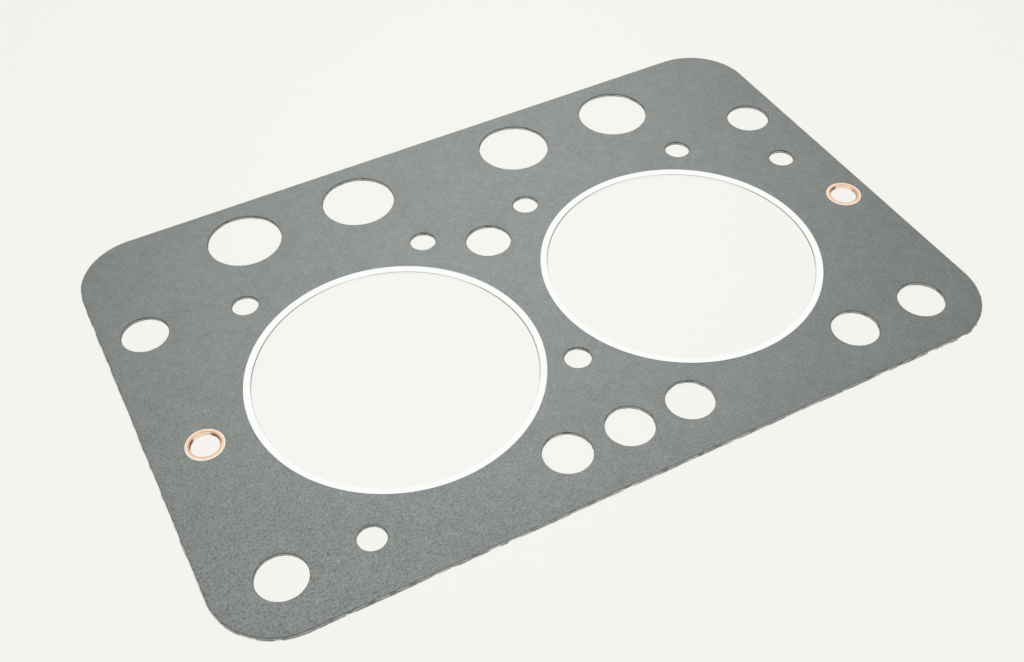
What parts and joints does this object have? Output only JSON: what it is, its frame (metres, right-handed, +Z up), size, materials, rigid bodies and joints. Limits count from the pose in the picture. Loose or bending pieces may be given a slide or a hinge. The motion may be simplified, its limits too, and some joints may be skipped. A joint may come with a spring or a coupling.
{
  "type": "cylinder head gasket",
  "caption": "Flat composite head gasket: grey facings on a pierced steel core, folded steel rings round the cylinder bores and copper eyelets in the oil holes.",
  "frame": {"origin": "middle of the sheet's outline, on the surface that the gasket lies on", "axes": "+X along the line of the cylinders, +Y towards the four pushrod holes, +Z up out of the sheet"},
  "size_m": [0.3, 0.198, 0.0017],
  "materials": {
    "core_steel": "bare cut sheet steel",
    "facing": "grey green pressed fibre and graphite facing, matt, finely mottled",
    "ring_steel": "bright rolled steel",
    "copper": "bright rolled copper"
  },
  "bodies": {
    "root": {"steel_core": "core_steel", "lower_facing": "facing", "upper_facing": "facing", "fire_ring_left": "ring_steel", "fire_ring_right": "ring_steel", "oil_eyelet_left": "copper", "oil_eyelet_right": "copper"}
  },
  "joints": []
}
